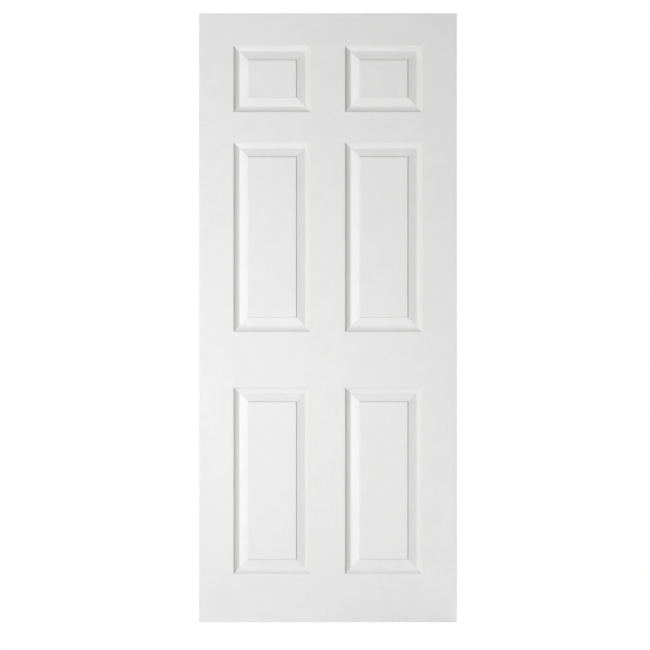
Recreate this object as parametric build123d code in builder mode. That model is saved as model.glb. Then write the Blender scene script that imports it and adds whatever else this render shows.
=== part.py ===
"""Moulded six-panel interior door leaf, hollow core, as a bare leaf with no lining or ironmongery.

Two pressed fibreboard skins are glued to a softwood frame of two stiles and two rails. A lock block
stands against each stile, so the leaf can be hung on either hand, and an expanded paper honeycomb
fills the rest. U-shaped staples hold the frame's corners while the glue sets.

Z is up the leaf, X across it and Y through it, with the front face towards -Y. The origin is at the
middle of the bottom edge, halfway through the thickness. Sizes are in millimetres.
"""

from build123d import *

import os
from math import sqrt

# Leaf
leaf_width = 838.0
leaf_height = 1981.0
leaf_thickness = 35.0
skin_thickness = 3.2
edge_radius = 0.8  # eased outer edge of each skin

# Flat margins between the leaf's edges and the panels, and the panel heights that are set.
# The middle panels take the height that is left, and all panels share the width that is left.
stile_margin = 112.0
mullion_width = 112.0
bottom_margin = 158.0
low_panel_height = 606.0
lock_rail_height = 181.0
frieze_rail_height = 99.0
top_panel_height = 216.0
top_margin = 105.0

# Moulding round each panel, from its outer edge inwards: a steep quirk, a shallow cove down to
# the valley, a long bevel back up, and a short step to the raised field, level with the face
quirk_width = 3.0
quirk_depth = 3.6
cove_width = 16.0
cove_depth = 6.4
cove_radius = 34.0
bevel_width = 26.0
bevel_rise = 6.2
step_width = 3.0
arris_radius = 1.5  # rounding where the flat face turns down into the quirk
press_radius = 0.9  # rounding of the valley and of both edges of the step
lip_width = 4.0  # flat strip on both sides of the moulding that belongs to its section

# Softwood frame and lock blocks
stile_width = 30.0
rail_width = 35.0
lock_block_length = 400.0
lock_block_centre = 950.0  # height of the block's middle above the bottom edge
block_setback = 12.0  # from the block's inner side to the moulding
vent_diameter = 8.0  # breathing holes through both rails, for the hot press
vent_spacing = 300.0

# Corner staples of flat wire
staple_wire = 1.2  # thickness of the wire
staple_breadth = 1.6  # breadth of the wire, along the joint
staple_crown = 20.0
staple_leg = 14.0
staple_bend = 1.5  # outer radius of the two bends
staple_inset = 10.0  # from the rail's outer edge to the staple near the front face
staple_stagger = 14.0  # how much further in the staple near the rear face is

# Paper honeycomb
cell_flats = 120.0  # across the flats of one expanded cell
paper_wall = 0.6
core_gap = 0.3  # between the cut ends of the paper and the timber
crush_margin = 4.0  # how far the crushed paper reaches past the moulding
crush_gap = 0.3  # between the crushed paper and the back of the moulding

# Sizes that follow from those above
core_thickness = leaf_thickness - 2 * skin_thickness
panel_width = (leaf_width - 2 * stile_margin - mullion_width) / 2
set_heights = low_panel_height + lock_rail_height + frieze_rail_height + top_panel_height
mid_panel_height = leaf_height - bottom_margin - top_margin - set_heights
moulding_width = quirk_width + cove_width + bevel_width + step_width
valley_depth = quirk_depth + cove_depth
opening_width = leaf_width - 2 * stile_width
opening_height = leaf_height - 2 * rail_width
lock_block_width = stile_margin - stile_width - block_setback
lock_block_x = (opening_width - lock_block_width) / 2

# Planes whose normals point out of the leaf
front_face = Plane.XZ.offset(leaf_thickness / 2)
front_core_face = Plane.XZ.offset(core_thickness / 2)
rear_core_face = Plane(origin=(0, core_thickness / 2, 0), x_dir=(-1, 0, 0), z_dir=(0, 1, 0))


def panel_places():
    """Give each panel as the middle of its bottom edge and its height: (x, z, height)."""
    low = bottom_margin
    mid = low + low_panel_height + lock_rail_height
    top = mid + mid_panel_height + frieze_rail_height
    rows = ((low, low_panel_height), (mid, mid_panel_height), (top, top_panel_height))
    column = (mullion_width + panel_width) / 2
    return [(x, z, height) for z, height in rows for x in (-column, column)]


def panel_rectangles(margin, mode=Mode.ADD):
    """Draw one rectangle for each panel in the open sketch, larger than the panel by a margin."""
    for x, z, height in panel_places():
        with Locations((x, z + height / 2)):
            Rectangle(panel_width + 2 * margin, height + 2 * margin, mode=mode)


def moulding_section(plane):
    """Draw the pressed sheet cut across the moulding: its own X points towards the field."""
    with BuildSketch(plane) as section:
        with BuildLine():
            quirk_end = (quirk_width, -quirk_depth)
            valley = (quirk_width + cove_width, -valley_depth)
            bevel_end = (valley[0] + bevel_width, -valley_depth + bevel_rise)
            Polyline((-lip_width, 0), (0, 0), quirk_end)
            RadiusArc(quirk_end, valley, -cove_radius)
            Polyline(valley, bevel_end, (moulding_width, 0), (moulding_width + lip_width, 0))
            arris, _, *creases = vertices().sort_by(Axis.X)[1:-1]
            fillet(arris, arris_radius)
            fillet(creases, press_radius)
            offset(amount=skin_thickness, side=Side.RIGHT, closed=True)
        make_face()
    return section.sketch


def moulding_ring(x, z, height):
    """Sweep the moulding round one panel, with mitred corners."""
    face_y = -leaf_thickness / 2
    left, right = x - panel_width / 2, x + panel_width / 2
    start = (x, face_y, z)
    corners = [(right, z), (right, z + height), (left, z + height), (left, z)]
    section = moulding_section(Plane(origin=start, x_dir=(0, 0, 1), z_dir=(1, 0, 0)))
    with BuildPart() as ring:
        with BuildLine() as outline:
            Polyline(start, *[(px, face_y, pz) for px, pz in corners], close=True)
        sweep(section, path=outline.wire(), transition=Transition.RIGHT)
    return ring.part


mouldings = [moulding_ring(*place) for place in panel_places()]

# Front skin: one sheet, pressed into six raised panels
with BuildPart() as front_skin:
    with BuildSketch(front_face):
        with Locations((0, leaf_height / 2)):
            Rectangle(leaf_width, leaf_height)
        panel_rectangles(lip_width, mode=Mode.SUBTRACT)
        panel_rectangles(-moulding_width - lip_width)
    extrude(amount=-skin_thickness)
    add(mouldings)
    face = front_skin.faces().filter_by(Axis.Y).sort_by(Axis.Y)[0]
    fillet(face.outer_wire().edges(), edge_radius)
front_skin.part.label = "front_skin"

# Rear skin: the same pressing, facing the other way
with BuildPart() as rear_skin:
    mirror(front_skin.part, about=Plane.XZ)
rear_skin.part.label = "rear_skin"


def corner_staple(x, z, side):
    """Bend one staple, with its crown flush in the front (side -1) or rear (side 1) core face."""
    crown_face = side * core_thickness / 2
    towards_crown = Align.MIN if side < 0 else Align.MAX
    with BuildPart() as staple:
        with BuildSketch(Plane.XY.offset(z - staple_breadth / 2)):
            with Locations((x, crown_face)):
                Rectangle(staple_crown, staple_leg, align=(Align.CENTER, towards_crown))
            with Locations((x, crown_face - side * staple_wire)):
                inner = (staple_crown - 2 * staple_wire, staple_leg - staple_wire)
                Rectangle(*inner, align=(Align.CENTER, towards_crown), mode=Mode.SUBTRACT)
        extrude(amount=staple_breadth)
        bends = staple.edges().filter_by(Axis.Z).filter_by_position(Axis.Y, crown_face, crown_face)
        fillet(bends, staple_bend)
    return staple.part


# Corner staples: at each corner one near the front face and one near the rear, set further in
staple_rises = ((-1, staple_inset), (1, staple_inset + staple_stagger))
staples = [
    corner_staple(x, z, side)
    for x in (-opening_width / 2, opening_width / 2)
    for side, rise in staple_rises
    for z in (rise, leaf_height - rise)
]
with BuildPart() as corner_staples:
    add(staples)
corner_staples.part.label = "corner_staples"

# Stiles: the leaf's full height, let in for the staples
with BuildPart() as left_stile:
    with BuildSketch(front_core_face):
        with Locations((-leaf_width / 2, 0)):
            Rectangle(stile_width, leaf_height, align=Align.MIN)
    extrude(amount=-core_thickness)
    add(staples, mode=Mode.SUBTRACT)
left_stile.part.label = "left_stile"

with BuildPart() as right_stile:
    mirror(left_stile.part, about=Plane.YZ)
right_stile.part.label = "right_stile"

# Rails: between the stiles, each with breathing holes up through it
with BuildPart() as bottom_rail:
    with BuildSketch(front_core_face):
        Rectangle(opening_width, rail_width, align=(Align.CENTER, Align.MIN))
    extrude(amount=-core_thickness)
    with Locations((0, 0, rail_width)):
        with GridLocations(vent_spacing, 0, 2, 1):
            Hole(vent_diameter / 2)
    add(staples, mode=Mode.SUBTRACT)
bottom_rail.part.label = "bottom_rail"

with BuildPart() as top_rail:
    mirror(bottom_rail.part, about=Plane.XY.offset(leaf_height / 2))
top_rail.part.label = "top_rail"

# Lock blocks: one against each stile
with BuildPart() as left_lock_block:
    with BuildSketch(front_core_face):
        with Locations((-lock_block_x, lock_block_centre)):
            Rectangle(lock_block_width, lock_block_length)
    extrude(amount=-core_thickness)
left_lock_block.part.label = "left_lock_block"

with BuildPart() as right_lock_block:
    mirror(left_lock_block.part, about=Plane.YZ)
right_lock_block.part.label = "right_lock_block"

# Paper honeycomb, seen from the front: hexagonal cells, trimmed to the timber round them
cell_pitch = cell_flats + paper_wall
cells_across = int(opening_width / (cell_pitch * sqrt(3) / 2)) + 2
cells_up = int(opening_height / cell_pitch) + 2
with BuildSketch(front_core_face) as paper:
    with Locations((0, leaf_height / 2)):
        Rectangle(opening_width - 2 * core_gap, opening_height - 2 * core_gap)
        with HexLocations(cell_pitch / 2, cells_across, cells_up):
            RegularPolygon(cell_flats / 2, 6, major_radius=False, mode=Mode.SUBTRACT)
    with Locations((-lock_block_x, lock_block_centre), (lock_block_x, lock_block_centre)):
        trimmed = (lock_block_width + 2 * core_gap, lock_block_length + 2 * core_gap)
        Rectangle(*trimmed, mode=Mode.SUBTRACT)

# The joined network of cells, without the scraps at its edge, crushed under the mouldings
with BuildPart() as honeycomb_core:
    extrude(paper.sketch.faces().sort_by(SortBy.AREA)[-1], amount=-core_thickness)
    with BuildSketch(front_core_face, rear_core_face):
        panel_rectangles(crush_margin)
        panel_rectangles(-moulding_width - crush_margin, mode=Mode.SUBTRACT)
    extrude(amount=-valley_depth - crush_gap, mode=Mode.SUBTRACT)
honeycomb_core.part.label = "honeycomb_core"

os.makedirs("parts", exist_ok=True)
export_step(front_skin.part, "parts/front_skin.step")
export_step(rear_skin.part, "parts/rear_skin.step")
export_step(left_stile.part, "parts/left_stile.step")
export_step(right_stile.part, "parts/right_stile.step")
export_step(top_rail.part, "parts/top_rail.step")
export_step(bottom_rail.part, "parts/bottom_rail.step")
export_step(left_lock_block.part, "parts/left_lock_block.step")
export_step(right_lock_block.part, "parts/right_lock_block.step")
export_step(corner_staples.part, "parts/corner_staples.step")
export_step(honeycomb_core.part, "parts/honeycomb_core.step")
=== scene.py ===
"""Looks of a moulded six-panel interior door leaf: primed skins, timber edges, paper core and studio.

The leaf stands upright with its front face towards -Y. All sizes are in metres. The two pressed
skins are modelled finely here and stand for the plain ones. Timber, paper core and staples keep their
solids and get a finish.
"""

import logging
import math
from dataclasses import dataclass, field, replace
from enum import Enum

import bpy
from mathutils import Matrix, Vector


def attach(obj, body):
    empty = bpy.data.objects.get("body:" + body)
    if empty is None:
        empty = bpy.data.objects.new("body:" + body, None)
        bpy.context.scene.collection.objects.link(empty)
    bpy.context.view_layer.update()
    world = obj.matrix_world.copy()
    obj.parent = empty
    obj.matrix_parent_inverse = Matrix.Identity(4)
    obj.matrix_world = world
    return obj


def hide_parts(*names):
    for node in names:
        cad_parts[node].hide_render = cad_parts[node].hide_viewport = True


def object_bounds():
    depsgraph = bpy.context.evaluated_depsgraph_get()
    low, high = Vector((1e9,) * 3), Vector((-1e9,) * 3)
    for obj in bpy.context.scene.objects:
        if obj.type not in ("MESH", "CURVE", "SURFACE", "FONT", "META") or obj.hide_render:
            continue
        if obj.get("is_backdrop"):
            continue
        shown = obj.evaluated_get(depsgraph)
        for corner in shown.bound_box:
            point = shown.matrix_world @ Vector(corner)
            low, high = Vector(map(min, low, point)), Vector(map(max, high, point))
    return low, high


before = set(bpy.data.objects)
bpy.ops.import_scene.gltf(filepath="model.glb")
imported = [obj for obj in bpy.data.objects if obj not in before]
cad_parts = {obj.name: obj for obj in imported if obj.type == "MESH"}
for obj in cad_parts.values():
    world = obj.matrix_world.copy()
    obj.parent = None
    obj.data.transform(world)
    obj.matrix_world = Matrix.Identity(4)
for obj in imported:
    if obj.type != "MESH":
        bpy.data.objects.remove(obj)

LOG = logging.getLogger("door_leaf")
BODY = "root"
MM = 0.001
QUARTER_TURN = math.pi / 2

Colour = tuple[float, float, float, float]
Spot = tuple[float, float]
Node = bpy.types.Node
Socket = bpy.types.NodeSocket
Value = Socket | float | tuple[float, ...]

WHITE: Colour = (1.0, 1.0, 1.0, 1.0)


class Facing(Enum):
    """Which way a skin's pressed face looks along Y."""

    FRONT = -1.0
    REAR = 1.0


class GrainRun(Enum):
    """Which way the grain runs over a stretch of the leaf."""

    UPRIGHT = 0.0
    LEVEL = 1.0


class SheetSide(Enum):
    """Which side of a skin's sheet is meant."""

    PRESSED = 1.0
    BACK = -1.0


class Slot(Enum):
    """Material slots of a skin."""

    PRIMED = 0
    CUT = 1


class PaintedShade(Enum):
    """Where shade is painted into the primer: in grooves, on upright runs only, or in creases, on every
    run.
    """

    GROOVE = "groove_painted_shade"
    CREASE = "crease_painted_shade"


@dataclass(frozen=True)
class Rect:
    """An upright rectangle in the leaf's own X and Z."""

    left: float
    bottom: float
    right: float
    top: float

    def inset(self, by: float) -> "Rect":
        """Give the rectangle drawn in from this one by a distance on every side."""
        return Rect(self.left + by, self.bottom + by, self.right - by, self.top - by)

    def corners(self) -> list[Spot]:
        """Give the corners, anticlockwise from the bottom left one as seen from the front."""
        level = (self.left, self.right)
        return [(x, self.bottom) for x in level] + [(x, self.top) for x in reversed(level)]


@dataclass(frozen=True)
class LeafPlan:
    """Size of the leaf over both skins, and the layout of its face: margins and panels."""

    width: float
    height: float
    thickness: float
    stile_margin: float = 112 * MM
    mullion_width: float = 112 * MM
    bottom_margin: float = 158 * MM
    low_panel_height: float = 606 * MM
    lock_rail_height: float = 181 * MM
    frieze_rail_height: float = 99 * MM
    top_panel_height: float = 216 * MM
    top_margin: float = 105 * MM

    def outline(self) -> Rect:
        """Give the leaf's own outline."""
        return Rect(-self.width / 2, 0.0, self.width / 2, self.height)

    def columns(self) -> list[Spot]:
        """Give the panels' places across the leaf.

        Returns:
            The left and right edge of each column.
        """
        outer = self.width / 2 - self.stile_margin
        inner = self.mullion_width / 2
        return [(-outer, -inner), (inner, outer)]

    def rows(self) -> list[Spot]:
        """Give the panels' places up the leaf.

        Returns:
            The bottom and top edge of each row, from the bottom row up.
        """
        low_top = self.bottom_margin + self.low_panel_height
        top_bottom = self.height - self.top_margin - self.top_panel_height
        return [
            (self.bottom_margin, low_top),
            (low_top + self.lock_rail_height, top_bottom - self.frieze_rail_height),
            (top_bottom, self.height - self.top_margin),
        ]

    def panels(self) -> list[Rect]:
        """Give every panel's outer rectangle, from the bottom row up."""
        return [Rect(a, low, b, high) for low, high in self.rows() for a, b in self.columns()]


@dataclass(frozen=True)
class ProfilePoint:
    """One point of a section: how far in, how high above the flat face, and the way it runs on.

    Args:
        inset: Distance from the section's outer edge.
        height: Height above the flat face.
        slope: Heading of the section there.
        groove_painted_shade: How much shade is painted on the primer there on an upright run, from 0 to 1.
        crease_painted_shade: How much shade is painted on it there on every run, from 0 to 1.
    """

    inset: float
    height: float
    slope: float
    groove_painted_shade: float = 0.0
    crease_painted_shade: float = 0.0

    def painted_shade(self, run: GrainRun) -> float:
        """Give the shade painted on the primer on a run: level runs get only the creases' painted shade,
        upright runs also the grooves'.
        """
        return self.crease_painted_shade + (self.groove_painted_shade if run is GrainRun.UPRIGHT else 0.0)


def unit(angle: float) -> Vector:
    """Give the unit vector of a section's plane that points along an angle."""
    return Vector((math.cos(angle), math.sin(angle)))


def arc_points(
    start: Vector,
    angle_in: float,
    angle_out: float,
    radius: float,
    steps: int,
) -> list[ProfilePoint]:
    """Run along an arc from a start point while the heading turns.

    Args:
        start: First point of the arc.
        angle_in: Heading at the start.
        angle_out: Heading at the end.
        radius: Radius of the arc.
        steps: Number of pieces that the arc is cut into.

    Returns:
        The points of the arc, both ends among them.
    """
    turn = angle_out - angle_in
    side = math.copysign(radius, turn)
    centre = start + unit(angle_in + QUARTER_TURN) * side
    points = []
    for i in range(steps + 1):
        angle = angle_in + turn * i / steps
        spot = centre - unit(angle + QUARTER_TURN) * side
        points.append(ProfilePoint(spot.x, spot.y, angle))
    return points


def eased_corner(
    corner: Vector,
    angle_in: float,
    angle_out: float,
    radius: float,
    steps: int = 6,
) -> list[ProfilePoint]:
    """Round a corner between two straight runs.

    Args:
        corner: The sharp corner.
        angle_in: Heading before the corner.
        angle_out: Heading after it.
        radius: Radius of the rounding.
        steps: Number of pieces of the arc.

    Returns:
        The points of the rounding.
    """
    cut = radius * math.tan(abs(angle_out - angle_in) / 2)
    return arc_points(corner - unit(angle_in) * cut, angle_in, angle_out, radius, steps)


def painted_shade_run(points: list[ProfilePoint], tone: PaintedShade, first: float, last: float) -> list[ProfilePoint]:
    """Set one of the painted shades along a run of points, from one value to another.

    Args:
        points: The run.
        tone: The painted shade.
        first: Its value at the first point.
        last: Its value at the last point.

    Returns:
        The same run with that painted shade set.
    """
    span = len(points) - 1
    values = [first + (last - first) * i / span for i in range(len(points))]
    return [replace(point, **{tone.value: value}) for point, value in zip(points, values)]


@dataclass(frozen=True)
class Moulding:
    """Section of the pressed moulding round each panel, from its outer edge to the raised field.

    A steep quirk and a shallow cove drop to the valley. A long bevel and a short step rise to the field.
    The painted shades say how much shade is painted onto the primer at the quirk's foot, at the cove's
    inner end and along the step, from 0 to 1.
    """

    quirk_width: float = 3.0 * MM
    quirk_depth: float = 3.6 * MM
    cove_width: float = 16.0 * MM
    cove_depth: float = 6.4 * MM
    cove_radius: float = 34.0 * MM
    bevel_width: float = 26.0 * MM
    bevel_rise: float = 6.2 * MM
    step_width: float = 3.0 * MM
    arris_radius: float = 1.5 * MM
    press_radius: float = 0.9 * MM
    cove_steps: int = 14
    # Painted shade: how much the primer is darkened at the quirk, over the cove and along the step
    quirk_painted_shade: float = 0.52
    cove_painted_shade: float = 0.38
    step_painted_shade: float = 0.29

    def corners(self) -> list[Vector]:
        """Give the section's sharp corners.

        Returns:
            The arris, the quirk's foot, the valley, the bevel's end and the field's edge.
        """
        quirk_end = Vector((self.quirk_width, -self.quirk_depth))
        valley = quirk_end + Vector((self.cove_width, -self.cove_depth))
        bevel_end = valley + Vector((self.bevel_width, self.bevel_rise))
        field_edge = Vector((bevel_end.x + self.step_width, 0.0))
        return [Vector((0.0, 0.0)), quirk_end, valley, bevel_end, field_edge]

    def headings(self) -> list[float]:
        """Give the section's headings.

        Returns:
            The headings of the quirk, the cove's start, the cove's end, the bevel and the step.
        """
        arris, quirk_end, valley, bevel_end, field_edge = self.corners()
        chord = valley - quirk_end
        half_turn = math.asin(chord.length / 2 / self.cove_radius)
        level = math.atan2(chord.y, chord.x)
        runs = (quirk_end - arris, bevel_end - valley, field_edge - bevel_end)
        quirk, bevel, step = (math.atan2(run.y, run.x) for run in runs)
        return [quirk, level - half_turn, level + half_turn, bevel, step]

    def turns(self) -> list[tuple[Vector, float, float]]:
        """Give the section's turns.

        Returns:
            Each corner with the heading before it and the heading after it.
        """
        quirk, cove_in, cove_out, bevel, step = self.headings()
        before = (0.0, quirk, cove_out, bevel, step)
        after = (quirk, cove_in, bevel, step, 0.0)
        return list(zip(self.corners(), before, after))

    def face(self) -> list[ProfilePoint]:
        """Give the pressed face's section, with every corner rounded.

        Returns:
            The points from the arris to the field's edge.
        """
        arris, foot, valley, bevel_end, field_edge = self.turns()
        cove = arc_points(foot[0], foot[2], valley[1], self.cove_radius, self.cove_steps)
        deep, shallow, line = self.quirk_painted_shade, self.cove_painted_shade, self.step_painted_shade
        # Painted shade along the section: rising down the quirk, fading over the cove to none past the
        # valley, and peaking along the step
        runs = (
            (eased_corner(*arris, self.arris_radius), PaintedShade.GROOVE, 0.0, deep),
            (eased_corner(*foot, self.press_radius), PaintedShade.GROOVE, deep, deep),
            (cove[1:-1], PaintedShade.GROOVE, deep, shallow),
            (eased_corner(*valley, self.press_radius), PaintedShade.GROOVE, shallow, 0.0),
            (eased_corner(*bevel_end, self.press_radius), PaintedShade.CREASE, 0.0, line),
            (eased_corner(*field_edge, self.press_radius), PaintedShade.CREASE, line, 0.0),
        )
        return [point for run in runs for point in painted_shade_run(*run)]

    def back(self, skin: float) -> list[ProfilePoint]:
        """Give the section of the sheet's back, a constant thickness behind the face.

        Args:
            skin: The sheet's thickness.

        Returns:
            The corners of the back's section.
        """
        points = []
        for corner, before, after in self.turns():
            middle = (before + after) / 2
            reach = skin / math.cos((after - before) / 2)
            spot = corner - unit(middle + QUARTER_TURN) * reach
            points.append(ProfilePoint(spot.x, spot.y, middle))
        return points


@dataclass(frozen=True)
class Ring:
    """One closed rectangle of a skin's mesh.

    Args:
        rect: The rectangle that insets are measured from.
        point: The section's point that the ring runs through.
        xs: Extra points on its level sides, where the face's grid meets it.
        zs: Extra points on its upright sides.
    """

    rect: Rect
    point: ProfilePoint
    xs: tuple[float, ...] = ()
    zs: tuple[float, ...] = ()

    def sides(self) -> list[list[Spot]]:
        """Give the ring's points, side by side.

        Returns:
            The points of the bottom, right, top and left side, anticlockwise from the front.
        """
        r = self.rect.inset(self.point.inset)
        return [
            [(x, r.bottom) for x in (r.left, *self.xs, r.right)],
            [(r.right, z) for z in (r.bottom, *self.zs, r.top)],
            [(x, r.top) for x in (r.right, *reversed(self.xs), r.left)],
            [(r.left, z) for z in (r.top, *reversed(self.zs), r.bottom)],
        ]


# For each side of a ring, in the order of Ring.sides: the way in, and the way its grain runs
INWARD = (Vector((0, 0, 1)), Vector((-1, 0, 0)), Vector((0, 0, -1)), Vector((1, 0, 0)))
SIDE_RUNS = (GrainRun.LEVEL, GrainRun.UPRIGHT, GrainRun.LEVEL, GrainRun.UPRIGHT)

# Corners that round to the same place in these steps of a metre are one vertex
MERGE_STEPS = 1e7


@dataclass
class SheetMesh:
    """Faces of one skin, gathered with their own corner normals, grain and material.

    Args:
        plane: Y of the flat face that heights are measured from.
        outward: Unit vector out of the pressed face.
    """

    plane: float
    outward: Vector
    spots: dict[tuple[int, ...], int] = field(default_factory=dict)
    verts: list[Vector] = field(default_factory=list)
    faces: list[list[int]] = field(default_factory=list)
    normals: list[Vector] = field(default_factory=list)
    runs: list[float] = field(default_factory=list)
    seeds: list[float] = field(default_factory=list)
    slots: list[int] = field(default_factory=list)
    # How much shade is painted on the primer at each face corner
    painted_shades: list[float] = field(default_factory=list)

    def vertex(self, x: float, z: float, height: float) -> int:
        """Give the index of the vertex at a place, made once.

        Args:
            x: Its place across the leaf.
            z: Its place up the leaf.
            height: Its height above the flat face.

        Returns:
            The vertex's index.
        """
        spot = Vector((x, self.plane, z)) + self.outward * height
        key = tuple(round(value * MERGE_STEPS) for value in spot)
        if key not in self.spots:
            self.spots[key] = len(self.verts)
            self.verts.append(spot)
        return self.spots[key]

    def face(
        self,
        corners: list[int],
        normals: list[Vector],
        painted_shades: list[float],
        run: GrainRun,
        seed: float,
        slot: Slot,
    ) -> None:
        """Add one face, wound to look the way its normals do.

        Args:
            corners: Its vertices in order.
            normals: The normal at each of them.
            painted_shades: How much shade is painted on the primer at each of them.
            run: Which way the grain runs on it.
            seed: The number that sets its board's grain apart from the others'.
            slot: Its material slot.
        """
        a, b, c = (self.verts[i] for i in corners[:3])
        if (b - a).cross(c - a).dot(sum(normals, Vector())) < 0:
            corners, normals, painted_shades = corners[::-1], normals[::-1], painted_shades[::-1]
        self.faces.append(corners)
        self.normals += normals
        self.painted_shades += painted_shades
        self.runs.append(run.value)
        self.seeds.append(seed)
        self.slots.append(slot.value)

    def strip(self, outer: Ring, inner: Ring, shows: SheetSide, seed: float, slot: Slot) -> None:
        """Join two rings all the way round, mitred at the corners.

        Args:
            outer: The outer ring.
            inner: The inner ring.
            shows: The side of the sheet that the strip shows on.
            seed: The grain's number.
            slot: The material slot.
        """
        for side, (out_side, in_side) in enumerate(zip(outer.sides(), inner.sides())):
            run = SIDE_RUNS[side]
            # Painted shade at the outer and the inner ring's corners
            painted_shades = [outer.point.painted_shade(run)] * 2 + [inner.point.painted_shade(run)] * 2
            tilts = []
            for ring in (outer, inner):
                lean = INWARD[side] * -math.sin(ring.point.slope)
                tilts.append((lean + self.outward * math.cos(ring.point.slope)) * shows.value)
            for i in range(len(out_side) - 1):
                corners = [
                    self.vertex(*out_side[i], outer.point.height),
                    self.vertex(*out_side[i + 1], outer.point.height),
                    self.vertex(*in_side[i + 1], inner.point.height),
                    self.vertex(*in_side[i], inner.point.height),
                ]
                normals = [tilts[0], tilts[0], tilts[1], tilts[1]]
                self.face(corners, normals, painted_shades, run, seed + side, slot)

    def flat(
        self, rect: Rect, height: float, shows: SheetSide, run: GrainRun, seed: float, slot: Slot
    ) -> None:
        """Add one flat rectangle at a height.

        Args:
            rect: The rectangle.
            height: Its height above the flat face.
            shows: The side of the sheet that it shows on.
            run: Which way the grain runs on it.
            seed: The grain's number.
            slot: The material slot.
        """
        corners = [self.vertex(*spot, height) for spot in rect.corners()]
        self.face(corners, [self.outward * shows.value] * 4, [0.0] * 4, run, seed, slot)

    def to_object(self, name: str, materials: list[bpy.types.Material]) -> bpy.types.Object:
        """Make the Blender object.

        Args:
            name: The piece's name.
            materials: The materials of its slots.

        Returns:
            The new object, linked to the scene.
        """
        mesh = bpy.data.meshes.new(name)
        mesh.from_pydata(self.verts, [], self.faces)
        attributes = (
            ("grain_run", "FACE", self.runs),
            ("grain_seed", "FACE", self.seeds),
            # the painted shade at each face corner, which darkens the primer
            ("painted_shade", "CORNER", self.painted_shades),
        )
        for title, domain, values in attributes:
            mesh.attributes.new(title, "FLOAT", domain).data.foreach_set("value", values)
        mesh.polygons.foreach_set("material_index", self.slots)
        mesh.polygons.foreach_set("use_smooth", [True] * len(self.faces))
        mesh.normals_split_custom_set([normal.normalized() for normal in self.normals])
        for material in materials:
            mesh.materials.append(material)
        piece = bpy.data.objects.new(name, mesh)
        bpy.context.scene.collection.objects.link(piece)
        return piece


class NodeSheet:
    """A node tree that is being filled: a group's, a material's or the surroundings'."""

    def __init__(self, tree: bpy.types.NodeTree) -> None:
        """Keep the tree."""
        self.tree = tree

    def node(self, kind: str, inputs: dict[int | str, Value] | None = None, **settings: object) -> Node:
        """Add a node.

        Args:
            kind: Its type, without the ShaderNode at the front.
            inputs: Values or sockets for its inputs, by name or number.
            settings: Its own properties.

        Returns:
            The node.
        """
        made = self.tree.nodes.new("ShaderNode" + kind)
        for name, value in settings.items():
            setattr(made, name, value)
        for key, value in (inputs or {}).items():
            self.feed(made.inputs[key], value)
        return made

    def feed(self, socket: Socket, value: Value) -> None:
        """Link a socket to another one, or set its value.

        Args:
            socket: The input.
            value: The socket that it gets its value from, or the value.
        """
        if isinstance(value, Socket):
            self.tree.links.new(value, socket)
        else:
            socket.default_value = value

    def math(self, operation: str, *values: Value) -> Socket:
        """Add a math node and give its result."""
        return self.node("Math", dict(enumerate(values)), operation=operation).outputs[0]

    def vector(self, operation: str, *values: Value) -> Socket:
        """Add a vector math node and give its result."""
        return self.node("VectorMath", dict(enumerate(values)), operation=operation).outputs[0]

    def weighted(self, base: float, *terms: tuple[Socket, float]) -> Socket:
        """Add up a number and some sockets, each times its weight.

        Args:
            base: The number.
            terms: The sockets with their weights.

        Returns:
            The sum.
        """
        total = base
        for value, weight in terms:
            total = self.math("MULTIPLY_ADD", value, weight, total)
        return total

    def ramp(self, value: Socket, low: float, high: float) -> Socket:
        """Map the range from low to high smoothly onto 0 to 1, clamped at its ends."""
        inputs = {0: value, 1: low, 2: high, 3: 0.0, 4: 1.0}
        return self.node("MapRange", inputs, interpolation_type="SMOOTHSTEP").outputs[0]

    def noise(self, place: Socket, scale: float, detail: float = 2.0, roughness: float = 0.5) -> Socket:
        """Add a noise texture and give its value, which lies around a half."""
        inputs = {"Vector": place, "Scale": scale, "Detail": detail, "Roughness": roughness}
        return self.node("TexNoise", inputs).outputs["Fac"]

    def mix(self, factor: Socket, first: Value, second: Value) -> Socket:
        """Mix two colours and give the result."""
        return self.node("Mix", {0: factor, 6: first, 7: second}, data_type="RGBA").outputs[2]

    def attribute(self, name: str) -> Socket:
        """Give a value that is stored on the mesh."""
        return self.node("Attribute", attribute_name=name).outputs["Fac"]

    def group(self, tree: bpy.types.NodeTree, **inputs: Value) -> Node:
        """Place a node group with its inputs, whose names have underscores for spaces."""
        named = {name.replace("_", " "): value for name, value in inputs.items()}
        return self.node("Group", named, node_tree=tree)


class GroupSheet(NodeSheet):
    """The node tree of a new group."""

    def __init__(self, name: str, inputs: dict[str, str], outputs: tuple[str, ...]) -> None:
        """Make the group.

        Args:
            name: Its name.
            inputs: Its input sockets, name to kind.
            outputs: Its output sockets, which are all numbers.
        """
        super().__init__(bpy.data.node_groups.new(name, "ShaderNodeTree"))
        for title, kind in inputs.items():
            self.tree.interface.new_socket(name=title, in_out="INPUT", socket_type="NodeSocket" + kind)
        for title in outputs:
            self.tree.interface.new_socket(name=title, in_out="OUTPUT", socket_type="NodeSocketFloat")
        self.given = self.tree.nodes.new("NodeGroupInput")
        self.gives = self.tree.nodes.new("NodeGroupOutput")

    def finish(self, **results: Socket) -> bpy.types.NodeTree:
        """Link the group's outputs.

        Args:
            results: The socket for each output, by its name.

        Returns:
            The group.
        """
        for name, result in results.items():
            self.feed(self.gives.inputs[name], result)
        return self.tree


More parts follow.
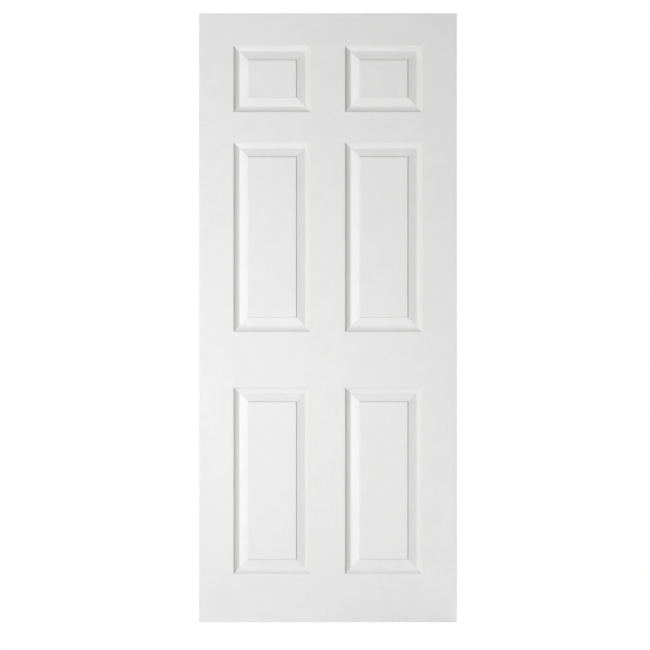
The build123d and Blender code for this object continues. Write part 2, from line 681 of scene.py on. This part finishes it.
@dataclass(frozen=True)
class TimberGrain:
    """Effect of timber grain: a long growth-ring figure with short pores along it.

    Each step of the seed moves the grain by the shift. A squeeze draws the rings' bends or the pores out
    along the grain, and a scale says how close together they are. The bends reach over bend_rings rings.
    A pore starts where its noise comes to pore_start, and it is full at pore_full.
    """

    shift: tuple[float, float, float] = (3.17, 1.73, 5.31)
    bend_squeeze: float = 0.07
    bend_scale: float = 9.0
    bend_rings: float = 9.0
    pore_squeeze: float = 0.035
    pore_scale: float = 850.0
    pore_start: float = 0.54
    pore_full: float = 0.68

    def build(self) -> bpy.types.NodeTree:
        """Build the group.

        Returns:
            The group, which takes Place, Seed and Figure Width and gives Figure and Pores.
        """
        wants = {"Place": "Vector", "Seed": "Float", "Figure Width": "Float"}
        sheet = GroupSheet("timber_grain", wants, ("Figure", "Pores"))
        given = sheet.given.outputs
        seeds = sheet.node("CombineXYZ", dict.fromkeys(range(3), given["Seed"])).outputs[0]
        place = sheet.vector("MULTIPLY_ADD", seeds, self.shift, given["Place"])
        bend_place = sheet.vector("MULTIPLY", place, (1.0, 1.0, self.bend_squeeze))
        bends = sheet.math("MULTIPLY", sheet.noise(bend_place, self.bend_scale), self.bend_rings)
        across = sheet.node("SeparateXYZ", {0: place}).outputs[0]
        rings = sheet.math("ADD", sheet.math("DIVIDE", across, given["Figure Width"]), bends)
        wave = sheet.math("SINE", sheet.math("MULTIPLY", rings, math.tau))
        pore_place = sheet.vector("MULTIPLY", place, (1.0, 1.0, self.pore_squeeze))
        pores = sheet.ramp(sheet.noise(pore_place, self.pore_scale), self.pore_start, self.pore_full)
        return sheet.finish(Figure=sheet.weighted(0.5, (wave, 0.5)), Pores=pores)


@dataclass(frozen=True)
class SoftMottle:
    """Effect of uneven tone: broad clouds and fine speckle, from 0 at the noise's low to 1 at its high."""

    cloud_detail: float = 5.0
    cloud_roughness: float = 0.6
    speckle_scale: float = 420.0
    low: float = 0.3
    high: float = 0.7

    def build(self) -> bpy.types.NodeTree:
        """Build the group.

        Returns:
            The group, which takes Place and Cloud Size and gives Clouds and Speckle.
        """
        sheet = GroupSheet("soft_mottle", {"Place": "Vector", "Cloud Size": "Float"}, ("Clouds", "Speckle"))
        given = sheet.given.outputs
        spread = sheet.vector("DIVIDE", given["Place"], given["Cloud Size"])
        broad = sheet.noise(spread, 1.0, self.cloud_detail, self.cloud_roughness)
        fine = sheet.noise(given["Place"], self.speckle_scale)
        clouds, speckle = (sheet.ramp(noise, self.low, self.high) for noise in (broad, fine))
        return sheet.finish(Clouds=clouds, Speckle=speckle)


@dataclass
class Effects:
    """The node groups that several finishes share, built once."""

    grain: bpy.types.NodeTree = field(default_factory=TimberGrain().build)
    mottle: bpy.types.NodeTree = field(default_factory=SoftMottle().build)


class Surface(NodeSheet):
    """The node tree of a new material with one Principled shader."""

    def __init__(self, name: str) -> None:
        """Make the material.

        Args:
            name: Its name.
        """
        self.material = bpy.data.materials.new(name)
        self.material.use_nodes = True
        super().__init__(self.material.node_tree)
        self.shader = next(node for node in self.tree.nodes if node.type == "BSDF_PRINCIPLED")

    def place(self) -> Socket:
        """Give the place on the piece, in the piece's own metres."""
        return self.node("TexCoord").outputs["Object"]

    def give(self, name: str, value: Value) -> None:
        """Link or set one of the shader's inputs."""
        self.feed(self.shader.inputs[name], value)

    def emboss(self, height: Socket, depth: float, strength: float) -> None:
        """Press a relief of some depth into the surface; the strength is how much of it shows."""
        bump = self.node("Bump", {"Height": height, "Distance": depth, "Strength": strength})
        self.give("Normal", bump.outputs[0])


@dataclass(frozen=True)
class EmbossedPrimer:
    """White factory primer over a pressed grain.

    A full pore and a full cloud each take the tone by tone_share from base to shaded, and the painted shade
    in the recesses takes it towards the darker colour that stands for that shade. The reliefs are measured
    against pore_depth. The pores and the speckle add to the roughness.
    """

    base: Colour = (0.803, 0.803, 0.803, 1.0)
    shaded: Colour = (0.768, 0.768, 0.768, 1.0)
    # Painted shade: the primer's colour where shade is painted into the moulding's recesses
    painted_shade_colour: Colour = (0.60, 0.595, 0.585, 1.0)
    pore_depth: float = 0.10 * MM
    figure_width: float = 16 * MM
    figure_relief: float = 0.25
    speckle_relief: float = 0.12
    cloud_size: float = 60 * MM
    tone_share: float = 0.5
    roughness: float = 0.44
    pore_roughness: float = 0.12
    speckle_roughness: float = 0.10
    gloss: float = 0.35

    def material(self, effects: Effects) -> bpy.types.Material:
        """Build the material.

        Args:
            effects: The shared node groups.

        Returns:
            The material.
        """
        surface = Surface("embossed_primer")
        place = surface.place()
        x, y, z = surface.node("SeparateXYZ", {0: place}).outputs
        turned = surface.node("CombineXYZ", {0: z, 1: y, 2: x}).outputs[0]
        run, seed = surface.attribute("grain_run"), surface.attribute("grain_seed")
        along = surface.node("Mix", {0: run, 4: place, 5: turned}, data_type="VECTOR").outputs[1]
        grain = surface.group(effects.grain, Place=along, Seed=seed, Figure_Width=self.figure_width)
        mottle = surface.group(effects.mottle, Place=place, Cloud_Size=self.cloud_size)
        pores, figure = grain.outputs["Pores"], grain.outputs["Figure"]
        clouds, speckle = mottle.outputs["Clouds"], mottle.outputs["Speckle"]
        tone = surface.weighted(0.0, (pores, self.tone_share), (clouds, self.tone_share))
        primer = surface.mix(tone, self.base, self.shaded)
        # Painted shade: the mesh's painted-shade value darkens the primer towards that colour
        surface.give("Base Color", surface.mix(surface.attribute("painted_shade"), primer, self.painted_shade_colour))
        rough = ((pores, self.pore_roughness), (speckle, self.speckle_roughness))
        surface.give("Roughness", surface.weighted(self.roughness, *rough))
        surface.give("Specular IOR Level", self.gloss)
        heights = ((pores, -1.0), (figure, self.figure_relief), (speckle, self.speckle_relief))
        surface.emboss(surface.weighted(0.0, *heights), self.pore_depth, 1.0)
        return surface.material


@dataclass(frozen=True)
class FibreSheet:
    """Finish of a sheet that is made up of fibres.

    The fibres are fibre_squeeze times as close together through the leaf. They have fibre_share of the
    tone, and the clouds have the rest. They also add to the roughness and make the relief.
    """

    name: str
    base: Colour
    light: Colour
    cloud_size: float
    fibre_scale: float
    fibre_squeeze: float
    fibre_share: float
    relief_depth: float
    roughness: float
    fibre_roughness: float
    fibre_detail: float = 3.0
    relief: float = 0.6

    def material(self, effects: Effects) -> bpy.types.Material:
        """Build the material.

        Args:
            effects: The shared node groups.

        Returns:
            The material.
        """
        surface = Surface(self.name)
        place = surface.place()
        clouds = surface.group(effects.mottle, Place=place, Cloud_Size=self.cloud_size).outputs["Clouds"]
        fibre_place = surface.vector("MULTIPLY", place, (1.0, self.fibre_squeeze, 1.0))
        fibres = surface.noise(fibre_place, self.fibre_scale, self.fibre_detail)
        tone = surface.weighted(0.0, (clouds, 1.0 - self.fibre_share), (fibres, self.fibre_share))
        surface.give("Base Color", surface.mix(tone, self.base, self.light))
        surface.give("Roughness", surface.weighted(self.roughness, (fibres, self.fibre_roughness)))
        surface.emboss(fibres, self.relief_depth, self.relief)
        return surface.material


@dataclass(frozen=True)
class CutFibreboard(FibreSheet):
    """Sawn edge and rough back of the dense brown fibreboard."""

    name: str = "cut_fibreboard"
    base: Colour = (0.27, 0.17, 0.095, 1.0)
    light: Colour = (0.40, 0.27, 0.16, 1.0)
    cloud_size: float = 18 * MM
    fibre_scale: float = 900.0
    fibre_squeeze: float = 6.0
    fibre_share: float = 0.7
    relief_depth: float = 0.2 * MM
    roughness: float = 0.7
    fibre_roughness: float = 0.2


@dataclass(frozen=True)
class KraftPaper(FibreSheet):
    """Brown paper of the honeycomb, with its fibres drawn out into ribs through the leaf."""

    name: str = "kraft_paper"
    base: Colour = (0.52, 0.36, 0.20, 1.0)
    light: Colour = (0.66, 0.50, 0.31, 1.0)
    cloud_size: float = 25 * MM
    fibre_scale: float = 700.0
    fibre_squeeze: float = 0.2
    fibre_share: float = 0.5
    relief_depth: float = 0.05 * MM
    roughness: float = 0.75
    fibre_roughness: float = 0.15


@dataclass(frozen=True)
class PlanedSoftwood:
    """Raw planed softwood in finger-jointed lengths.

    The starts keep places along the timber and through the leaf above zero. Each step of the seed moves
    the joints by joint_shift, and each board moves the seed by board_step. The shares are those of the
    rings, of the board's own tone and of the clouds.

    Args:
        name: The material's name.
        run: Which way the timber's length runs.
        seed: Number that sets its grain apart.
    """

    name: str
    run: GrainRun
    seed: float
    pale: Colour = (0.72, 0.53, 0.32, 1.0)
    dark: Colour = (0.50, 0.31, 0.15, 1.0)
    glue: Colour = (0.36, 0.22, 0.11, 1.0)
    length: float = 0.42
    finger: float = 10 * MM
    finger_pitch: float = 4 * MM
    glue_width: float = 0.35 * MM
    along_start: float = 5.0
    through_start: float = 1.0
    joint_shift: float = 0.13
    board_step: float = 1.37
    figure_width: float = 9 * MM
    figure_share: float = 0.55
    board_share: float = 0.3
    cloud_size: float = 45 * MM
    cloud_share: float = 0.15
    relief_depth: float = 0.12 * MM
    relief: float = 0.7
    roughness: float = 0.6
    pore_roughness: float = 0.15

    def boards(self, surface: Surface, along: Socket, through: Socket) -> tuple[Socket, Socket]:
        """Part the timber into boards with finger joints between them.

        Args:
            surface: The material that is being built.
            along: Place along the timber.
            through: Place through the leaf.

        Returns:
            Each board's own seed, and the mask of the glue lines.
        """
        start = surface.math("ADD", through, self.through_start)
        zigzag = surface.math("PINGPONG", start, self.finger_pitch / 2)
        reach = surface.math("MULTIPLY_ADD", zigzag, 2 * self.finger / self.finger_pitch, along)
        shifted = surface.math("ADD", reach, self.along_start + self.seed * self.joint_shift)
        lengths = surface.math("DIVIDE", shifted, self.length)
        into = surface.math("FRACT", lengths)
        joint = surface.math("LESS_THAN", into, self.glue_width * 2 / self.length)
        board_seed = surface.weighted(self.seed, (surface.math("FLOOR", lengths), self.board_step))
        return board_seed, joint

    def material(self, effects: Effects) -> bpy.types.Material:
        """Build the material.

        Args:
            effects: The shared node groups.

        Returns:
            The material.
        """
        surface = Surface(self.name)
        x, y, z = surface.node("SeparateXYZ", {0: surface.place()}).outputs
        across, along = (x, z) if self.run is GrainRun.UPRIGHT else (z, x)
        seed, joint = self.boards(surface, along, y)
        turned = surface.node("CombineXYZ", {0: across, 1: y, 2: along}).outputs[0]
        grain = surface.group(effects.grain, Place=turned, Seed=seed, Figure_Width=self.figure_width)
        mottle = surface.group(effects.mottle, Place=turned, Cloud_Size=self.cloud_size)
        own = surface.node("TexWhiteNoise", {"W": seed}, noise_dimensions="1D").outputs["Value"]
        pores, figure = grain.outputs["Pores"], grain.outputs["Figure"]
        shares = (
            (own, self.board_share),
            (figure, self.figure_share),
            (mottle.outputs["Clouds"], self.cloud_share),
        )
        wood = surface.mix(surface.weighted(0.0, *shares), self.pale, self.dark)
        surface.give("Base Color", surface.mix(joint, wood, self.glue))
        surface.give("Roughness", surface.weighted(self.roughness, (pores, self.pore_roughness)))
        surface.emboss(surface.math("SUBTRACT", figure, pores), self.relief_depth, self.relief)
        return surface.material


@dataclass(frozen=True)
class GalvanisedWire:
    """Dull zinc on the staples, clouded in its tone and speckled in its relief and roughness."""

    base: Colour = (0.60, 0.61, 0.62, 1.0)
    dull: Colour = (0.42, 0.43, 0.44, 1.0)
    cloud_size: float = 3 * MM
    speckle_depth: float = 0.02 * MM
    relief: float = 0.5
    roughness: float = 0.35
    speckle_roughness: float = 0.2

    def material(self, effects: Effects) -> bpy.types.Material:
        """Build the material.

        Args:
            effects: The shared node groups.

        Returns:
            The material.
        """
        surface = Surface("galvanised_wire")
        mottle = surface.group(effects.mottle, Place=surface.place(), Cloud_Size=self.cloud_size)
        clouds, speckle = mottle.outputs["Clouds"], mottle.outputs["Speckle"]
        surface.give("Base Color", surface.mix(clouds, self.base, self.dull))
        surface.give("Roughness", surface.weighted(self.roughness, (speckle, self.speckle_roughness)))
        surface.give("Metallic", 1.0)
        surface.emboss(speckle, self.speckle_depth, self.relief)
        return surface.material


@dataclass
class PressedSkin:
    """One skin: a sheet of even thickness, pressed into six raised panels.

    A plain strip, back_rim wide, runs along the edge of its back. The seeds set the grain of its boards
    apart: they count up by column on the stiles, by row on the rails and by both on the mullions, and
    each panel takes panel_boards of them, for its four sides and its field.

    Args:
        node: The node that it stands for.
        facing: Which way its pressed face looks.
        plan: The face's layout.
        moulding: The moulding's section.
    """

    node: str
    facing: Facing
    plan: LeafPlan
    moulding: Moulding
    thickness: float = 3.2 * MM
    edge_radius: float = 0.8 * MM
    edge_steps: int = 5
    back_rim: float = 6.4 * MM
    edge_seed: float = 1.0
    stile_seed: float = 10.0
    rail_seed: float = 20.0
    mullion_seed: float = 30.0
    panel_seed: float = 40.0
    panel_boards: int = 5

    def border(self) -> list[ProfilePoint]:
        """Give the section of the skin's outer edge.

        Returns:
            The points from its back to the flat face.
        """
        start = Vector((0.0, -self.edge_radius))
        eased = arc_points(start, QUARTER_TURN, 0.0, self.edge_radius, self.edge_steps)
        return [ProfilePoint(0.0, -self.thickness, QUARTER_TURN), *eased]

    def grid(self, reach: float) -> tuple[tuple[float, ...], tuple[float, ...]]:
        """Give the lines through the panels' outermost rings.

        Args:
            reach: How far those rings lie inside the panels' outer rectangles, negative outside.

        Returns:
            The lines' places across and up the face.
        """
        xs = tuple(x for a, b in self.plan.columns() for x in (a + reach, b - reach))
        zs = tuple(z for a, b in self.plan.rows() for z in (a + reach, b - reach))
        return xs, zs

    def board(self, column: int, row: int, last_column: int) -> tuple[GrainRun, float]:
        """Give the grain of one cell of the face's grid, which is part of a stile, rail or mullion.

        Args:
            column: The cell's column.
            row: Its row; the panels stand in the odd ones.
            last_column: The column at the right edge.

        Returns:
            Which way its grain runs, and the grain's number.
        """
        if column in (0, last_column):
            return GrainRun.UPRIGHT, self.stile_seed + column
        if row % 2:
            return GrainRun.UPRIGHT, self.mullion_seed + column + row
        return GrainRun.LEVEL, self.rail_seed + row

    def flats(
        self, sheet: SheetMesh, outline: Rect, reach: float, height: float, shows: SheetSide, slot: Slot
    ) -> None:
        """Fill one side of the sheet between the border and the panels.

        Args:
            sheet: The mesh that is being filled.
            outline: The rectangle that the border leaves.
            reach: Where the panels' outermost rings lie, as in grid.
            height: Height of this side above the flat face.
            shows: The side of the sheet.
            slot: The material slot.
        """
        xs, zs = self.grid(reach)
        across = (outline.left, *xs, outline.right)
        up = (outline.bottom, *zs, outline.top)
        for i, (left, right) in enumerate(zip(across, across[1:])):
            for j, (bottom, top) in enumerate(zip(up, up[1:])):
                is_panel = i % 2 and j % 2
                if is_panel:
                    continue
                run, seed = self.board(i, j, len(across) - 2)
                sheet.flat(Rect(left, bottom, right, top), height, shows, run, seed, slot)

    def build(self) -> SheetMesh:
        """Gather the skin's faces: edge, flats, mouldings and fields, front and back.

        Returns:
            The gathered mesh.
        """
        outward = Vector((0.0, self.facing.value, 0.0))
        sheet = SheetMesh(self.facing.value * self.plan.thickness / 2, outward)
        outline = self.plan.outline()
        face, back = self.moulding.face(), self.moulding.back(self.thickness)
        front_lines, back_lines = self.grid(face[0].inset), self.grid(back[0].inset)
        rings = [Ring(outline, point, *front_lines) for point in self.border()]
        for outer, inner in zip(rings, rings[1:]):
            slot = Slot.CUT if outer is rings[0] else Slot.PRIMED
            sheet.strip(outer, inner, SheetSide.PRESSED, self.edge_seed, slot)
        rest = outline.inset(self.edge_radius)
        self.flats(sheet, rest, face[0].inset, 0.0, SheetSide.PRESSED, Slot.PRIMED)
        foot = Ring(outline, ProfilePoint(0.0, -self.thickness, 0.0), *front_lines)
        rim = Ring(outline, ProfilePoint(self.back_rim, -self.thickness, 0.0), *back_lines)
        sheet.strip(foot, rim, SheetSide.BACK, self.edge_seed, Slot.CUT)
        rest = outline.inset(self.back_rim)
        self.flats(sheet, rest, back[0].inset, -self.thickness, SheetSide.BACK, Slot.CUT)
        layers = ((face, SheetSide.PRESSED, Slot.PRIMED), (back, SheetSide.BACK, Slot.CUT))
        for number, panel in enumerate(self.plan.panels()):
            seed = self.panel_seed + self.panel_boards * number
            field_seed = seed + self.panel_boards - 1
            for points, shows, slot in layers:
                for outer, inner in zip(points, points[1:]):
                    sheet.strip(Ring(panel, outer), Ring(panel, inner), shows, seed, slot)
                last = points[-1]
                field_rect = panel.inset(last.inset)
                sheet.flat(field_rect, last.height, shows, GrainRun.UPRIGHT, field_seed, slot)
        return sheet

    def dress(self, primer: bpy.types.Material, cut: bpy.types.Material) -> bpy.types.Object:
        """Make the finished piece and put it in place of its node.

        Args:
            primer: The primed face's material.
            cut: The material of cut edges and back.

        Returns:
            The piece.
        """
        piece = self.build().to_object("pressed_" + self.node, [primer, cut])
        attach(piece, BODY)
        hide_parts(self.node)
        return piece


@dataclass
class Carcass:
    """Timber frame, lock blocks, paper core and staples, which keep their solids.

    Args:
        effects: The shared node groups.
        uprights: Nodes of the timbers whose grain runs up the leaf.
        levels: Nodes of the timbers whose grain runs across it.
        first_number: Number of the first timber.
        seed_step: What a timber's number is multiplied by to give its seed.
    """

    effects: Effects
    uprights: tuple[str, ...] = ("left_stile", "right_stile", "left_lock_block", "right_lock_block")
    levels: tuple[str, ...] = ("top_rail", "bottom_rail")
    first_number: int = 3
    seed_step: float = 2.3

    def dress(self) -> list[str]:
        """Give each solid its finish.

        Returns:
            The names of the dressed nodes.
        """
        finishes = {"honeycomb_core": KraftPaper(), "corner_staples": GalvanisedWire()}
        for number, name in enumerate((*self.uprights, *self.levels), self.first_number):
            run = GrainRun.UPRIGHT if name in self.uprights else GrainRun.LEVEL
            finishes[name] = PlanedSoftwood("softwood_" + name, run, self.seed_step * number)
        for name, finish in finishes.items():
            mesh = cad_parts[name].data
            mesh.materials.clear()
            mesh.materials.append(finish.material(self.effects))
        return sorted(finishes)


@dataclass(frozen=True)
class Lamp:
    """One round soft lamp, aimed at the middle of the leaf. Its power is in watts."""

    name: str
    place: tuple[float, float, float]
    power: float
    size: float = 0.7
    colour: tuple[float, float, float] = (0.989, 0.990, 0.994)


@dataclass
class Studio:
    """White floor, soft light from the left and the camera in front.

    Args:
        leaf: The leaf that is shown.
        photo_px: Width and height of the picture.
        leaf_px: Height of the leaf in it.
        centre_x_px: Middle of the leaf in it, from the left.
        centre_y_px: The same from the top.
        camera_distance: Distance from the camera to the leaf's face.
        sensor: Width of the camera's sensor in millimetres.
        ambient: Strength of the light from all round.
    """

    leaf: LeafPlan
    photo_px: float = 650.0
    leaf_px: float = 608.85
    centre_x_px: float = 327.9
    centre_y_px: float = 317.75
    camera_distance: float = 9.0
    camera_reach: float = 100.0
    sensor: float = 36.0
    floor_size: float = 60.0
    floor_colour: Colour = (0.8, 0.8, 0.8, 1.0)
    floor_roughness: float = 0.9
    ambient: float = 0.262
    ambient_colour: Colour = (1.0, 0.985, 0.965, 1.0)
    lamps: tuple[Lamp, ...] = (
        Lamp("key", (-5.0, -6.0, 1.0), 312.0, 1.2),
        Lamp("front", (-0.55, -2.2, 0.6), 12.8),
        Lamp("rear", (2.4, 3.0, 3.2), 150.0, 1.2),
    )

    def camera(self) -> None:
        """Place the camera so that the leaf fills the same part of the picture as in the photograph."""
        scale = self.leaf.height / self.leaf_px
        lens = bpy.data.cameras.new("camera")
        lens.sensor_width = self.sensor
        lens.lens = self.sensor * self.camera_distance / (self.photo_px * scale)
        lens.clip_end = self.camera_reach
        camera = bpy.data.objects.new("camera", lens)
        x = (self.photo_px / 2 - self.centre_x_px) * scale
        z = self.leaf.height / 2 - (self.photo_px / 2 - self.centre_y_px) * scale
        camera.location = (x, -self.leaf.thickness / 2 - self.camera_distance, z)
        camera.rotation_euler = (QUARTER_TURN, 0.0, 0.0)
        bpy.context.scene.collection.objects.link(camera)
        bpy.context.scene.camera = camera

    def show_white(self, sheet: NodeSheet, kind: str, usual: Socket) -> None:
        """Let the camera see plain white, and every other ray the usual shader.

        Args:
            sheet: The node tree that has this shader.
            kind: The kind of shader that makes the white.
            usual: The usual shader.
        """
        shown = sheet.node(kind, {"Color": WHITE, "Strength": 1.0}).outputs[0]
        seen = sheet.node("LightPath").outputs["Is Camera Ray"]
        mixed = sheet.node("MixShader", {0: seen, 1: usual, 2: shown}).outputs[0]
        output = next(node for node in sheet.tree.nodes if node.type.startswith("OUTPUT"))
        sheet.feed(output.inputs["Surface"], mixed)

    def floor(self) -> None:
        """Lay the floor: it shows as plain white and gives back soft light."""
        half = self.floor_size / 2
        mesh = bpy.data.meshes.new("floor")
        corners = [(-half, -half, 0), (half, -half, 0), (half, half, 0), (-half, half, 0)]
        mesh.from_pydata(corners, [], [(0, 1, 2, 3)])
        surface = Surface("studio_floor")
        surface.give("Base Color", self.floor_colour)
        surface.give("Roughness", self.floor_roughness)
        self.show_white(surface, "Emission", surface.shader.outputs[0])
        mesh.materials.append(surface.material)
        floor = bpy.data.objects.new("floor", mesh)
        bpy.context.scene.collection.objects.link(floor)
        floor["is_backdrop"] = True

    def hang(self, lamp: Lamp) -> None:
        """Hang one lamp.

        Args:
            lamp: The lamp.
        """
        light = bpy.data.lights.new(lamp.name, "AREA")
        light.shape = "DISK"
        light.size = lamp.size
        light.energy = lamp.power
        light.color = lamp.colour
        hung = bpy.data.objects.new(lamp.name, light)
        hung.location = lamp.place
        aim = Vector((0.0, 0.0, self.leaf.height / 2)) - Vector(lamp.place)
        hung.rotation_euler = aim.to_track_quat("-Z", "Y").to_euler()
        bpy.context.scene.collection.objects.link(hung)

    def surround(self) -> None:
        """Set the surroundings: soft light all round, and plain white where the camera looks."""
        world = bpy.data.worlds.new("surroundings")
        world.use_nodes = True
        sheet = NodeSheet(world.node_tree)
        soft = sheet.node("Background", {"Color": self.ambient_colour, "Strength": self.ambient})
        self.show_white(sheet, "Background", soft.outputs[0])
        bpy.context.scene.world = world

    def build(self) -> None:
        """Build the floor, the surroundings, the lamps and the camera."""
        self.floor()
        self.surround()
        for lamp in self.lamps:
            self.hang(lamp)
        self.camera()
        bpy.context.scene.view_settings.view_transform = "Standard"


def main() -> None:
    """Build the leaf's looks and the studio, and log how each piece is dressed."""
    logging.basicConfig(level=logging.INFO, format="%(name)s: %(message)s")
    cad_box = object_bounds()
    low, high = cad_box
    plan = LeafPlan(high.x - low.x, high.z - low.z, high.y - low.y)
    effects = Effects()
    primer = EmbossedPrimer().material(effects)
    cut = CutFibreboard().material(effects)
    for node, facing in (("front_skin", Facing.FRONT), ("rear_skin", Facing.REAR)):
        piece = PressedSkin(node, facing, plan, Moulding()).dress(primer, cut)
        LOG.info("%s stands for %s with %d faces", piece.name, node, len(piece.data.polygons))
    for name in Carcass(effects).dress():
        LOG.info("%s keeps its solid", name)
    Studio(plan).build()


if __name__ == "__main__":
    main()
